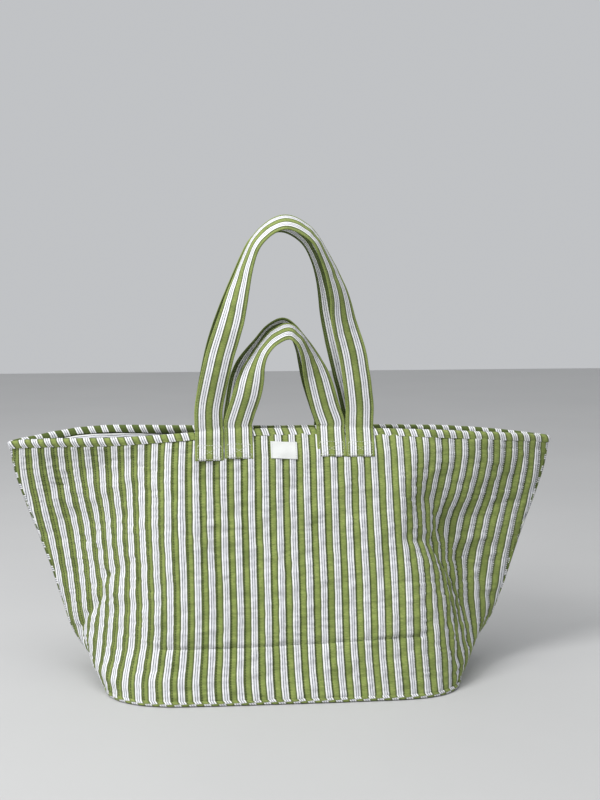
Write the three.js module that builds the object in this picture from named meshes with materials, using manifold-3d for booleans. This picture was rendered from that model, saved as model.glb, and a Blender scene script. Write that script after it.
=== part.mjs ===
// Weekender bag: an open quilted tote on a flat oval base. Its two panels flare outwards to a
// wide, narrow mouth, and it carries two long shoulder straps and two short carry handles.
// Millimetres, +Z up. The origin is on the floor under the middle of the base, and the front
// panel faces -Y.
import * as THREE from 'three';
import { mergeVertices } from 'three/addons/utils/BufferGeometryUtils.js';
import Module from 'manifold-3d';

// ---- driving dimensions ----
const BASE_WIDTH = 494;
const BASE_DEPTH = 282;
const MOUTH_WIDTH = 776;
const MOUTH_DEPTH = 70;
const RIM_HEIGHT = 356;
const RIM_DROOP = 18; // how much lower the rim is at its two tips
const DROOP_CURVE = 2.5; // exponent of how the rim falls towards a tip
const MOUTH_PINCH = 0.64; // share by which the mouth closes at its middle
const PINCH_HALF_WIDTH = 150;
const PINCH_ONSET = 4; // exponent of how the pinch grows towards the rim
const BASE_SQUARENESS = 4.4; // superellipse exponents of the outline at the base and the rim
const MOUTH_SQUARENESS = 3;
const FLARE_SWELL = 0.65; // how far the sides swell out beyond a straight flare
const DEPTH_TAPER = 1.15; // exponent of how the outline's depth shrinks with height

const GAP = 0.3; // clearance between pieces that touch
const OUTER_CLOTH = 1.2;
const WADDING = 2.2;
const LINING_CLOTH = 1.2;
const WADDING_DEPTH = OUTER_CLOTH + GAP; // each layer's depth below the bag's outer surface
const LINING_DEPTH = WADDING_DEPTH + WADDING + GAP;
const WALL = LINING_DEPTH + LINING_CLOTH;
const FLOOR_WADDING = 4;
const FLOOR_CLEARANCE = 0.5;

const BINDING_CLOTH = 1.2;
const RIM_BINDING_DROP = 10;
const BASE_BINDING_CLOTH = 2;
const BASE_BINDING_HEIGHT = 9;
const SEAM_TAPE_SHARE = 0.6; // share of the first facet beside a seam that the tape covers
const SEAM_TAPE_CLEARANCE = 1.2;
const SEAM_TAPE_INSET = 14; // how far the tape stops short of the rim and the floor

const STRAP_WIDTH = 40;
const STRAP_THICKNESS = 3;
const STRAP_STEPS = 26;
const STRAP_END_COLUMNS = 2;
const STRAP_STAND_OFF = 0.8; // between a strap's end and the binding that it crosses
const STRAP_OVERLAP = 43; // length of strap sewn down below the rim
const STRAP_END_RISE = 3;
const STRAP_FOOT_GAP = 0.9; // where a strap bends above its sewn end
const SHOULDER_STRAP = { spacing: 106.5, rises: [[105.5, 34], [95, 99], [79, 156], [57, 240], [33, 276]], apex: 650 };
const CARRY_HANDLE = { spacing: 65, rises: [[61.5, 24], [53, 69], [41, 112], [23, 138]], apex: 505 };
const APEX_TILT = THREE.MathUtils.degToRad(30); // slope of the strap's face at its top
const STRAIGHT_RISE = 8; // a strap's first stretch above its sewn end, where it doesn't lean yet
const TURN_START = 0.1; // share of the way to the top at which a strap starts to turn
const RIDGE_HALF_GAP = 2; // between the middle plane and a strap that leans against the other

const STITCH_BOX_TOP = 20; // distances below the rim
const STITCH_BOX_BOTTOM = 41;
const STITCH_BOX_HALF_WIDTH = 17;
const THREAD = 0.8;

const LABEL_WIDTH = 37;
const LABEL_HEIGHT = 24;
const LABEL_DROP = 17;
const LABEL_CLOTH = 0.6;
const LABEL_COLUMNS = 4;

const POCKET_WIDTH = 370;
const POCKET_BOTTOM = 84;
const POCKET_TOP = 290;
const POCKET_CLOTH = 1.4;
const POCKET_SLACK = 22; // how far the pocket's mouth hangs away from the lining
const POCKET_BINDING_DROP = 7;
const FACE_CLEARANCE = 0.8; // between the curved wall and what is sewn flat on it

const PANEL_COLUMNS = 24;
const PANEL_ROWS = 6;
const UPPER_ROWS = [0.82, 0.91]; // levels between which the pinched part of the wall curves most

// ---- the bag's outer surface ----
// A level is 0 at the foot of the wall and 1 at the rim. A place is the share of the way round
// one level: 0 at the left tip, 0.5 at the right tip, and the front panel lies in between.
const LEVEL_SAMPLES = 240;
const TANGENT_STEP = 0.002; // share of the way round over which the wall's direction is taken
const BISECTIONS = 40;
const WALL_FOOT = GAP;
const levelOutlines = new Map();

function pinch(x, level) {
  return 1 - MOUTH_PINCH * Math.pow(level, PINCH_ONSET) * Math.exp(-Math.pow(x / PINCH_HALF_WIDTH, 2));
}

function rimHeight(x) {
  return RIM_HEIGHT - RIM_DROOP * Math.pow(Math.abs(x) / (MOUTH_WIDTH / 2), DROOP_CURVE);
}

// The front half of one level's outline, with the length run along it at each point.
function levelOutline(level) {
  if (levelOutlines.has(level)) return levelOutlines.get(level);
  const flare = level * (1 + FLARE_SWELL * (1 - level));
  const halfWidth = THREE.MathUtils.lerp(BASE_WIDTH, MOUTH_WIDTH, flare) / 2;
  const halfDepth = THREE.MathUtils.lerp(BASE_DEPTH, MOUTH_DEPTH, Math.pow(level, DEPTH_TAPER)) / 2;
  const power = 2 / THREE.MathUtils.lerp(BASE_SQUARENESS, MOUTH_SQUARENESS, Math.min(level, 1));
  const points = [];
  const lengths = [];
  for (let i = 0; i <= LEVEL_SAMPLES; i++) {
    const angle = Math.PI * (i / LEVEL_SAMPLES);
    const cosine = Math.cos(angle);
    const x = -halfWidth * Math.sign(cosine) * Math.pow(Math.abs(cosine), power);
    const y = -halfDepth * Math.pow(Math.sin(angle), power) * pinch(x, level);
    points.push(new THREE.Vector2(x, y));
    lengths.push(i === 0 ? 0 : lengths[i - 1] + points[i].distanceTo(points[i - 1]));
  }
  const outline = { points, lengths, length: lengths[LEVEL_SAMPLES] };
  levelOutlines.set(level, outline);
  return outline;
}

function pointOnLevel(place, level) {
  const wrapped = place - Math.floor(place);
  const isBack = wrapped > 0.5;
  const { points, lengths, length } = levelOutline(level);
  const target = (isBack ? 1 - wrapped : wrapped) * 2 * length;
  let i = 1;
  while (i < LEVEL_SAMPLES && lengths[i] < target) i++;
  const share = (target - lengths[i - 1]) / (lengths[i] - lengths[i - 1]);
  const point = points[i - 1].clone().lerp(points[i], share);
  if (isBack) point.y = -point.y;
  return point;
}

// A point of the wall, moved horizontally outwards from the bag's outer surface.
function wallPoint(place, level, outwards) {
  const point = pointOnLevel(place, level);
  const along = pointOnLevel(place + TANGENT_STEP, level).sub(pointOnLevel(place - TANGENT_STEP, level)).normalize();
  const height = WALL_FOOT + level * (rimHeight(point.x) - WALL_FOOT);
  return new THREE.Vector3(point.x + along.y * outwards, point.y - along.x * outwards, height);
}

function levelAtHeight(height) {
  return (height - WALL_FOOT) / (RIM_HEIGHT - WALL_FOOT);
}

function levelBelowRim(drop) {
  return levelAtHeight(RIM_HEIGHT - drop);
}

// The place on the front panel that has this x at the rim.
function placeAt(x) {
  let low = 0;
  let high = 0.5;
  for (let i = 0; i < BISECTIONS; i++) {
    const middle = (low + high) / 2;
    if (pointOnLevel(middle, 1).x < x) low = middle;
    else high = middle;
  }
  return (low + high) / 2;
}

// Places from `first` to `last`, closer together towards both ends, where the wall turns.
function panelPlaces(first, last, count) {
  const result = [];
  for (let i = 0; i <= count; i++) {
    const even = i / count;
    const crowded = (1 - Math.cos(Math.PI * even)) / 2;
    result.push(THREE.MathUtils.lerp(first, last, (even + crowded) / 2));
  }
  return result;
}

function steps(first, last, count) {
  return Array.from({ length: count + 1 }, (_, i) => THREE.MathUtils.lerp(first, last, i / count));
}

// ---- solids ----
const SEAM_SHARE = 0.00014; // half of the gap at a side seam, as a share of the way round

function signedVolume(vertices, triangles) {
  let volume = 0;
  for (const [a, b, c] of triangles) volume += vertices[a].dot(vertices[b].clone().cross(vertices[c]));
  return volume / 6;
}

function solid(vertices, triangles) {
  const isInsideOut = signedVolume(vertices, triangles) < 0;
  const faces = triangles.map(([a, b, c]) => (isInsideOut ? [a, c, b] : [a, b, c]));
  const geometry = new THREE.BufferGeometry();
  const numbers = vertices.flatMap((vertex) => vertex.toArray());
  geometry.setAttribute('position', new THREE.Float32BufferAttribute(numbers, 3));
  geometry.setIndex(faces.flat());
  geometry.computeVertexNormals();
  return geometry;
}

// A closed solid through rows of points. Each row goes up one side of a strip-like section and
// back down the other, so that its point j faces point size - 1 - j. Every four-sided patch is
// split from its lower corner on one row to its upper corner on the next, or the other way round
// on the back of the bag, so that neighbouring layers stay parallel.
function loft(rows, isRing = false, isOnBack = (span) => isRing && span >= rows.length / 2) {
  const size = rows[0].length;
  const triangles = [];
  const spans = isRing ? rows.length : rows.length - 1;
  for (let i = 0; i < spans; i++) {
    const here = i * size;
    const next = ((i + 1) % rows.length) * size;
    for (let j = 0; j < size; j++) {
      const k = (j + 1) % size;
      const goesUp = rows[i][k].z > rows[i][j].z;
      if (goesUp !== isOnBack(i)) triangles.push([here + j, here + k, next + k], [here + j, next + k, next + j]);
      else triangles.push([here + j, here + k, next + j], [here + k, next + k, next + j]);
    }
  }
  if (!isRing) {
    const last = (rows.length - 1) * size;
    for (let j = 0; j < size / 2 - 1; j++) {
      const facing = size - 1 - j;
      triangles.push([j, facing, facing - 1], [j, facing - 1, j + 1]);
      triangles.push([last + j, last + facing - 1, last + facing], [last + j, last + j + 1, last + facing - 1]);
    }
  }
  return solid(rows.flat(), triangles);
}

// A layer of the wall between two distances outwards from the bag's outer surface.
function wallLayer(placeList, levels, outer, inner, isRing = false) {
  const rows = placeList.map((place) => [
    ...levels.map((level) => wallPoint(place, level, outer)),
    ...levels.toReversed().map((level) => wallPoint(place, level, inner)),
  ]);
  return loft(rows, isRing);
}

function mirrorToBack(geometry) {
  const position = geometry.getAttribute('position');
  const vertices = [];
  for (let i = 0; i < position.count; i++) {
    vertices.push(new THREE.Vector3(position.getX(i), -position.getY(i), position.getZ(i)));
  }
  const index = Array.from(geometry.getIndex().array);
  const triangles = [];
  for (let i = 0; i < index.length; i += 3) triangles.push(index.slice(i, i + 3));
  return solid(vertices, triangles);
}

// A horizontal plate that fits between the walls, which flare along x and lean in along y.
function floorPlate(bottom, top) {
  const inset = WALL + FLOOR_CLEARANCE;
  const firstRow = innerLevels[1];
  const outline = new THREE.Shape(
    ringPlaces().map((place) => {
      const foot = wallPoint(place, 0, -inset);
      const atTop = foot.clone().lerp(wallPoint(place, firstRow, -inset), levelAtHeight(top) / firstRow);
      return new THREE.Vector2(foot.x, atTop.y);
    }),
  );
  const geometry = new THREE.ExtrudeGeometry(outline, { depth: top - bottom, bevelEnabled: false });
  return geometry.translate(0, 0, bottom);
}

// The panels' own columns all the way round, with one column at each tip.
function ringPlaces() {
  const front = panelPlaces(SEAM_SHARE, 0.5 - SEAM_SHARE, PANEL_COLUMNS).slice(1, -1);
  return [0, ...front, 0.5, ...front.map((place) => place + 0.5)];
}

// ---- pieces ----
const innerLevels = [...steps(0, UPPER_ROWS[0], PANEL_ROWS), UPPER_ROWS[1]];
function panelLayer(depth, thickness) {
  const columns = panelPlaces(SEAM_SHARE, 0.5 - SEAM_SHARE, PANEL_COLUMNS);
  const levels = [...innerLevels, levelBelowRim(RIM_BINDING_DROP), 1];
  return wallLayer(columns, levels, -depth, -depth - thickness);
}

function rimBinding() {
  const outside = GAP + BINDING_CLOTH;
  const foot = levelBelowRim(RIM_BINDING_DROP);
  const shoulder = levelBelowRim(-GAP);
  const crest = levelBelowRim(-GAP - BINDING_CLOTH);
  const rows = ringPlaces().map((place) => [
    wallPoint(place, foot, outside),
    wallPoint(place, crest, outside),
    wallPoint(place, crest, -WALL - outside),
    wallPoint(place, foot, -WALL - outside),
    wallPoint(place, foot, -WALL - GAP),
    wallPoint(place, shoulder, -WALL - GAP),
    wallPoint(place, shoulder, GAP),
    wallPoint(place, foot, GAP),
  ]);
  return loft(rows, true);
}

function baseBinding() {
  const levels = [0, levelAtHeight(BASE_BINDING_HEIGHT)];
  return wallLayer(ringPlaces(), levels, FACE_CLEARANCE + BASE_BINDING_CLOTH, FACE_CLEARANCE, true);
}

// A tape over an inner side seam. It lies along the straight facets of the lining.
function seamTape(tipPlace, backSpan) {
  const facet = panelPlaces(0, 0.5, PANEL_COLUMNS)[1];
  const foot = levelAtHeight(SEAM_TAPE_INSET);
  const levels = [foot, ...innerLevels.slice(1), levelBelowRim(SEAM_TAPE_INSET)];
  const outer = -WALL - SEAM_TAPE_CLEARANCE;
  const rows = [-1, 0, 1].map((side) => {
    const tapePoint = (level, outwards) => {
      const tip = wallPoint(tipPlace, level, outwards);
      return tip.lerp(wallPoint(tipPlace + side * facet, level, outwards), SEAM_TAPE_SHARE);
    };
    return [
      ...levels.map((level) => tapePoint(level, outer)),
      ...levels.toReversed().map((level) => tapePoint(level, outer - BINDING_CLOTH)),
    ];
  });
  return loft(rows, false, (span) => span === backSpan);
}

// How far the pocket's cloth hangs away from the lining.
function pocketSlack(share, level) {
  const rise = (level - levelAtHeight(POCKET_BOTTOM)) / levelAtHeight(POCKET_TOP);
  return POCKET_SLACK * Math.sin(Math.PI * share) * Math.max(rise, 0);
}

const POCKET_COLUMNS = 10;
const POCKET_ROWS = 5;
const POCKET_SEAM_STEPS = 6;
const pocketPlaces = steps(placeAt(-POCKET_WIDTH / 2), placeAt(POCKET_WIDTH / 2), POCKET_COLUMNS);

function pocketLoft(section) {
  const rows = pocketPlaces.map((place, i) =>
    section.map(([inwards, level]) => {
      const slack = pocketSlack(i / POCKET_COLUMNS, level);
      return wallPoint(place, level, -WALL - FACE_CLEARANCE - slack - inwards);
    }),
  );
  return loft(rows);
}

function pocket() {
  const levels = steps(levelAtHeight(POCKET_BOTTOM), levelAtHeight(POCKET_TOP), POCKET_ROWS);
  return pocketLoft([
    ...levels.map((level) => [GAP + BINDING_CLOTH, level]),
    ...levels.toReversed().map((level) => [GAP + BINDING_CLOTH + POCKET_CLOTH, level]),
  ]);
}

function pocketBinding() {
  const foot = levelAtHeight(POCKET_TOP - POCKET_BINDING_DROP);
  const shoulder = levelAtHeight(POCKET_TOP + GAP);
  const crest = levelAtHeight(POCKET_TOP + GAP + BINDING_CLOTH);
  const innerFace = 2 * GAP + BINDING_CLOTH + POCKET_CLOTH;
  return pocketLoft([
    [0, foot],
    [0, crest],
    [innerFace + BINDING_CLOTH, crest],
    [innerFace + BINDING_CLOTH, foot],
    [innerFace, foot],
    [innerFace, shoulder],
    [BINDING_CLOTH, shoulder],
    [BINDING_CLOTH, foot],
  ]);
}

// The row of thread that holds the pocket, down one side, along its foot and up the other.
function pocketStitching() {
  const left = pocketPlaces[0];
  const right = pocketPlaces[POCKET_COLUMNS];
  const top = levelAtHeight(POCKET_TOP);
  const bottom = levelAtHeight(POCKET_BOTTOM);
  const sideLevels = steps(top, bottom, POCKET_SEAM_STEPS);
  const halfLevel = levelAtHeight(THREAD / 2) - levelAtHeight(0);
  const halfPlace = THREAD / 2 / (2 * levelOutline(1).length);
  const route = [
    ...sideLevels.map((level) => ({ place: left, level, across: [halfPlace, 0] })),
    ...pocketPlaces.slice(1, -1).map((place) => ({ place, level: bottom, across: [0, halfLevel] })),
    ...sideLevels.toReversed().map((level) => ({ place: right, level, across: [-halfPlace, 0] })),
  ];
  const corners = [sideLevels.length - 1, route.length - sideLevels.length];
  for (const corner of corners) route[corner].across[1] = halfLevel;
  const face = FACE_CLEARANCE + THREAD;
  const rows = route.map(({ place, level, across: [dp, dl] }) => [
    wallPoint(place + dp, level + dl, face),
    wallPoint(place - dp, level - dl, face),
    wallPoint(place - dp, level - dl, FACE_CLEARANCE),
    wallPoint(place + dp, level + dl, FACE_CLEARANCE),
  ]);
  return loft(rows);
}

function label() {
  const columns = steps(placeAt(-LABEL_WIDTH / 2), placeAt(LABEL_WIDTH / 2), LABEL_COLUMNS);
  const levels = [levelBelowRim(LABEL_DROP + LABEL_HEIGHT), levelBelowRim(LABEL_DROP)];
  return wallLayer(columns, levels, FACE_CLEARANCE + LABEL_CLOTH, FACE_CLEARANCE);
}

// ---- straps ----
const BINDING_FACE = GAP + BINDING_CLOTH;
const STRAP_TOP_STAND_OFF = BINDING_FACE + STRAP_STAND_OFF;

function strapEndStandOff(drop) {
  const share = THREE.MathUtils.clamp((STRAP_OVERLAP - drop) / (STRAP_OVERLAP - RIM_BINDING_DROP), 0, 1);
  return THREE.MathUtils.lerp(FACE_CLEARANCE, STRAP_TOP_STAND_OFF, share);
}

function strapEnd(x) {
  const columns = steps(placeAt(x - STRAP_WIDTH / 2), placeAt(x + STRAP_WIDTH / 2), STRAP_END_COLUMNS);
  const drops = [STRAP_OVERLAP, (STRAP_OVERLAP + RIM_BINDING_DROP) / 2, RIM_BINDING_DROP, -STRAP_END_RISE];
  const rows = columns.map((place) => [
    ...drops.map((drop) => wallPoint(place, levelBelowRim(drop), strapEndStandOff(drop) + STRAP_THICKNESS)),
    ...drops.toReversed().map((drop) => wallPoint(place, levelBelowRim(drop), strapEndStandOff(drop))),
  ]);
  return loft(rows);
}

// The strap's own axes along its arch: from flat against the bag at the legs to a sloping
// face at the top.
function strapRows({ spacing, rises, apex }) {
  const legTop = STRAP_END_RISE + STRAP_FOOT_GAP;
  const legLevel = levelBelowRim(-legTop);
  const legPlace = placeAt(spacing);
  const leg = wallPoint(legPlace, legLevel, STRAP_TOP_STAND_OFF + STRAP_THICKNESS / 2);
  const outerSide = wallPoint(legPlace, legLevel, STRAP_TOP_STAND_OFF);
  const facing = leg.clone().sub(outerSide).normalize();
  const apexDepth = (STRAP_WIDTH / 2) * Math.cos(APEX_TILT) + STRAP_THICKNESS / 2 + RIDGE_HALF_GAP;
  const half = rises.map(([x, rise]) => {
    const share = rise / (apex - RIM_HEIGHT);
    return new THREE.Vector3(x, THREE.MathUtils.lerp(leg.y, -apexDepth, share), RIM_HEIGHT + rise);
  });
  const rightLeg = [leg, leg.clone().setZ(leg.z + STRAIGHT_RISE), ...half];
  const mirrorX = (point) => new THREE.Vector3(-point.x, point.y, point.z);
  const top = new THREE.Vector3(0, -apexDepth, apex);
  const points = [...rightLeg.map(mirrorX), top, ...rightLeg.toReversed()];
  const arch = new THREE.CatmullRomCurve3(points, false, 'centripetal');
  const topEdge = new THREE.Vector3(0, Math.cos(APEX_TILT), Math.sin(APEX_TILT));
  return steps(0, 1, STRAP_STEPS).map((share) => {
    const centre = arch.getPointAt(share);
    const isEnd = share === 0 || share === 1;
    const along = isEnd ? new THREE.Vector3(0, 0, share === 0 ? 1 : -1) : arch.getTangentAt(share);
    const side = share < 0.5 ? -1 : 1;
    const turn = THREE.MathUtils.smoothstep(1 - Math.abs(2 * share - 1), TURN_START, 1);
    const legEdge = new THREE.Vector3(-facing.y * side, facing.x, 0);
    const edge = legEdge.lerp(topEdge, turn);
    edge.addScaledVector(along, -edge.dot(along)).normalize();
    const face = along.clone().cross(edge).normalize();
    return strapSection(centre, edge, face);
  });
}

function strapSection(centre, edge, face) {
  const corners = [[1, 1], [-1, 1], [-1, -1], [1, -1]];
  return corners.map(([across, out]) => {
    const corner = centre.clone().addScaledVector(edge, (across * STRAP_WIDTH) / 2);
    return corner.addScaledVector(face, (out * STRAP_THICKNESS) / 2);
  });
}

// ---- stitched box with a cross ----
const wasm = await Module();
wasm.setup();

function manifoldOf(geometry) {
  const bare = geometry.clone();
  bare.deleteAttribute('normal');
  bare.deleteAttribute('uv');
  const merged = mergeVertices(bare);
  return new wasm.Manifold(
    new wasm.Mesh({
      numProp: 3,
      vertProperties: merged.getAttribute('position').array,
      triVerts: new Uint32Array(merged.getIndex().array),
    }),
  );
}

// A straight run of thread in the flat: x across the strap, y down from the rim.
function threadRun([x1, y1], [x2, y2]) {
  const length = Math.hypot(x2 - x1, y2 - y1) + THREAD;
  const run = new THREE.BoxGeometry(length, THREAD, THREAD);
  run.rotateZ(Math.atan2(y2 - y1, x2 - x1));
  return manifoldOf(run.translate((x1 + x2) / 2, (y1 + y2) / 2, 0));
}

function stitchBox(x) {
  const left = x - STITCH_BOX_HALF_WIDTH;
  const right = x + STITCH_BOX_HALF_WIDTH;
  const corners = [[left, STITCH_BOX_TOP], [right, STITCH_BOX_TOP], [right, STITCH_BOX_BOTTOM], [left, STITCH_BOX_BOTTOM]];
  let stitches = threadRun(corners[0], corners[2]).add(threadRun(corners[1], corners[3]));
  corners.forEach((corner, i) => {
    stitches = stitches.add(threadRun(corner, corners[(i + 1) % corners.length]));
  });
  const { vertProperties, triVerts } = stitches.getMesh();
  const vertices = [];
  for (let i = 0; i < vertProperties.length; i += 3) {
    const [across, drop, out] = vertProperties.slice(i, i + 3);
    const face = strapEndStandOff(drop) + STRAP_THICKNESS + GAP + THREAD / 2;
    vertices.push(wallPoint(placeAt(across), levelBelowRim(drop), face + out));
  }
  const triangles = [];
  for (let i = 0; i < triVerts.length; i += 3) triangles.push(Array.from(triVerts.slice(i, i + 3)));
  return solid(vertices, triangles);
}

// ---- materials ----
function cloth(color) {
  return new THREE.MeshStandardMaterial({ color, roughness: 0.9, metalness: 0 });
}
const GREEN_STRIPE = 0x8a9f5c;
const GREEN_BINDING = 0x7b9150;
const GREEN_STRAP = 0x93a865;
const GREEN_LINING = 0x75895a;
const WADDING_WHITE = 0xe9e6dc;
const THREAD_WHITE = 0xd9dccb;
const LABEL_WHITE = 0xe6e7e3;

// ---- assembly ----
const bag = new THREE.Group();

function add(name, geometry, color) {
  const mesh = new THREE.Mesh(geometry, cloth(color));
  mesh.name = name;
  bag.add(mesh);
}

function addOnBothSides(name, geometry, color) {
  add(`front_${name}`, geometry, color);
  add(`back_${name}`, mirrorToBack(geometry), color);
}

addOnBothSides('outer_panel', panelLayer(0, OUTER_CLOTH), GREEN_STRIPE);
addOnBothSides('wadding', panelLayer(WADDING_DEPTH, WADDING), WADDING_WHITE);
addOnBothSides('lining', panelLayer(LINING_DEPTH, LINING_CLOTH), GREEN_LINING);

const floorWaddingBottom = OUTER_CLOTH + GAP;
const floorLiningBottom = floorWaddingBottom + FLOOR_WADDING + GAP;
add('base_outer_panel', floorPlate(0, OUTER_CLOTH), GREEN_STRIPE);
add('base_wadding', floorPlate(floorWaddingBottom, floorWaddingBottom + FLOOR_WADDING), WADDING_WHITE);
add('base_lining', floorPlate(floorLiningBottom, floorLiningBottom + LINING_CLOTH), GREEN_LINING);

add('rim_binding', rimBinding(), GREEN_BINDING);
add('base_binding', baseBinding(), GREEN_BINDING);
add('left_seam_tape', seamTape(0, 0), GREEN_BINDING);
add('right_seam_tape', seamTape(0.5, 1), GREEN_BINDING);

add('slip_pocket', pocket(), GREEN_LINING);
add('slip_pocket_binding', pocketBinding(), GREEN_BINDING);
add('slip_pocket_stitching', pocketStitching(), THREAD_WHITE);
add('label', label(), LABEL_WHITE);

for (const [name, strap] of [['shoulder_strap', SHOULDER_STRAP], ['carry_handle', CARRY_HANDLE]]) {
  addOnBothSides(name, loft(strapRows(strap)), GREEN_STRAP);
  for (const [hand, x] of [['left', -strap.spacing], ['right', strap.spacing]]) {
    addOnBothSides(`${name}_${hand}_end`, strapEnd(x), GREEN_STRAP);
    addOnBothSides(`${name}_${hand}_stitching`, stitchBox(x), THREAD_WHITE);
  }
}

export default bag;
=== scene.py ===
"""Looks of the weekender bag: quilted striped shell, lining, bindings, pocket, straps and label."""

import math

import bpy
import numpy as np
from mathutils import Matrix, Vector


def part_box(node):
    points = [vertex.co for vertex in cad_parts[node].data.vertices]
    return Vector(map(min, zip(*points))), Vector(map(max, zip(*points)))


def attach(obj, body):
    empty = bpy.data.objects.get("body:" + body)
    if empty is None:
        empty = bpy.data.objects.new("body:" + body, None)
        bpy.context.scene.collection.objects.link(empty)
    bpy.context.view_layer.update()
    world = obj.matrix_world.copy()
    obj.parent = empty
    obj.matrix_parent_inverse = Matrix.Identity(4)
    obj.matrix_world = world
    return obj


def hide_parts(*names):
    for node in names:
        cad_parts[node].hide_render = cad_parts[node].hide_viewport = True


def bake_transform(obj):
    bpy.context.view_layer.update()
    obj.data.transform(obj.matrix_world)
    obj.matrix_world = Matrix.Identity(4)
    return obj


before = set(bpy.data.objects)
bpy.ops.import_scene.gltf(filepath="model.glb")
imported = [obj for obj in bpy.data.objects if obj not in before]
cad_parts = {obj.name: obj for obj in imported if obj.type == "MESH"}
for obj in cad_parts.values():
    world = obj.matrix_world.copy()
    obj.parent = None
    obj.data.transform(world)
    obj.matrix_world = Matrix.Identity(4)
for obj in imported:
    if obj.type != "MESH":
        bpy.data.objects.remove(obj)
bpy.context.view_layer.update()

MM = 0.001

# ---- sizes taken from the frame ----
panel_low, panel_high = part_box("front_outer_panel")
label_low, label_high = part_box("label")
pocket_low, pocket_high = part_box("slip_pocket")
TIP_X = panel_high.x
RIM_HEIGHT = panel_high.z
WALL_FOOT = panel_low.z
RIM_DROOP = 18 * MM  # how much lower the rim is at its two tips

# ---- the cloth ----
PITCH = 19.5 * MM  # one green band and one group of white cords
PANEL_FOOT_WIDTH = 697 * MM  # a panel is cut as a trapezoid
PANEL_RIM_WIDTH = 800 * MM
PANEL_HEIGHT = 380 * MM
PANEL_CLOTH = 3.4 * MM  # quilted outer cloth with its wadding
LINING_OUTER = 3.8 * MM  # depths of the lining's two faces below the outer surface
LINING_INNER = 5.0 * MM
DEEPEST_LAYER = 8.5 * MM
THINNEST_SHARE = 0.03  # of a layer's depth that is left at a tip

SHELL_COLUMNS = 144
SHELL_ROWS = 34
SHELL_FRAMES = 30

# Level sections of the front panel before it settles, from the left seam to the right one:
# (height, [(x, y), ...]) in millimetres. The sixth point is the panel's middle.
SECTIONS = [
    (0, [(-252, 0), (-252, -66), (-233, -110), (-180, -136), (-88, -141), (3, -141),
         (93, -141), (178, -137), (225, -116), (244, -70), (247, 0)]),
    (30, [(-283, 6), (-269, -51), (-240, -94), (-177, -126), (-89, -134), (1, -135),
          (91, -134), (179, -129), (223, -113), (256, -70), (280, 0)]),
    (60, [(-303, 8), (-275, -38), (-232, -79), (-172, -111), (-90, -125), (0, -128),
          (90, -127), (180, -121), (222, -105), (262, -55), (302, 0)]),
    (110, [(-320, 10), (-272, -26), (-228, -64), (-168, -100), (-90, -113), (0, -115),
           (90, -114), (179, -107), (224, -83), (262, -25), (322, 0)]),
    (160, [(-335, 16), (-282, -8), (-235, -48), (-160, -89), (-90, -99), (0, -101),
           (90, -100), (173, -93), (220, -62), (262, -9), (337, 0)]),
    (212, [(-353, 20), (-289, 5), (-228, -34), (-150, -76), (-85, -84), (0, -85),
           (90, -84), (158, -77), (204, -44), (247, -9), (353, 0)]),
    (265, [(-371, 20), (-299, 6), (-231, -21), (-145, -61), (-80, -67), (0, -67),
           (90, -66), (160, -61), (205, -34), (268, -22), (371, 0)]),
    (310, [(-383, 18), (-305, 2), (-235, -18), (-143, -44), (-80, -45), (0, -42),
           (90, -43), (165, -42), (220, -31), (290, -24), (383, 0)]),
    (350, [(-388, 14), (-327, -5), (-248, -21), (-150, -28), (-85, -18), (0, -12),
           (85, -14), (165, -21), (235, -26), (320, -18), (388, 0)]),
]
TIP_REACH = 150 * MM  # from here to a tip, the back follows the tip's own place
MOUTH_GAPE = 22 * MM  # how much further back the rim stands on the left
MOUTH_GAPE_X = -290 * MM
MOUTH_SAG_X = -240 * MM
FRONT_SAG, BACK_SAG = 5 * MM, -3 * MM  # how much lower the rim hangs there


# ---- small helpers ----
def lerp(a, b, t):
    return a + (b - a) * t


def smoothstep(low, high, x):
    t = np.clip((x - low) / (high - low), 0, 1)
    return t * t * (3 - 2 * t)


def bell(x, centre, width):
    return np.exp(-(((x - centre) / width) ** 2))


def unit(vectors):
    return vectors / np.maximum(np.linalg.norm(vectors, axis=-1, keepdims=True), 1e-12)


def together(*parts):
    """Parts of shapes that fit each other, joined along a new last axis."""
    return np.stack(np.broadcast_arrays(*parts), -1)


def run_along(line):
    return np.concatenate([[0], np.cumsum(np.linalg.norm(np.diff(line, axis=0), axis=1))])


def along_line(at, run, points):
    """The places on a line of points at these distances along it."""
    return together(*(np.interp(at, run, column) for column in points.T))


def spread_evenly(line, count):
    """count + 1 points evenly spaced along a line of many points."""
    run = run_along(line)
    return along_line(np.linspace(0, run[-1], count + 1), run, line)


def cubic_weights(t):
    """Weights of four neighbouring points, for a smooth curve between the middle two."""
    first = (-t + 2 * t**2 - t**3) / 2
    second = (2 - 5 * t**2 + 3 * t**3) / 2
    third = (t + 4 * t**2 - 3 * t**3) / 2
    fourth = (t**3 - t**2) / 2
    return np.stack([first, second, third, fourth], -1)


def smooth_line(points, per_span=60):
    """A curve of many points through a few of them."""
    points = np.asarray(points, float)
    knots = np.vstack([2 * points[0] - points[1], points, 2 * points[-1] - points[-2]])
    weights = cubic_weights(np.linspace(0, 1, per_span, endpoint=False))
    spans = [weights @ knots[i : i + 4] for i in range(len(points) - 1)]
    return np.vstack(spans + [points[-1:]])


NOISE_SIZE = 256


def noise(x, y, seed):
    """Smooth random heights from -1 to 1, with one random value at each whole x and y."""
    table = np.random.default_rng(seed).uniform(-1, 1, (NOISE_SIZE, NOISE_SIZE))
    i, j = np.floor(x).astype(int), np.floor(y).astype(int)
    u, v = smoothstep(0, 1, x - i), smoothstep(0, 1, y - j)

    def corner(a, b):
        return table[(i + a) % NOISE_SIZE, (j + b) % NOISE_SIZE]

    return lerp(lerp(corner(0, 0), corner(1, 0), u), lerp(corner(0, 1), corner(1, 1), u), v)


# ---- the shell before it settles ----
def rim_height(x):
    return RIM_HEIGHT - RIM_DROOP * (np.abs(x) / TIP_X) ** 2.5


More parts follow.
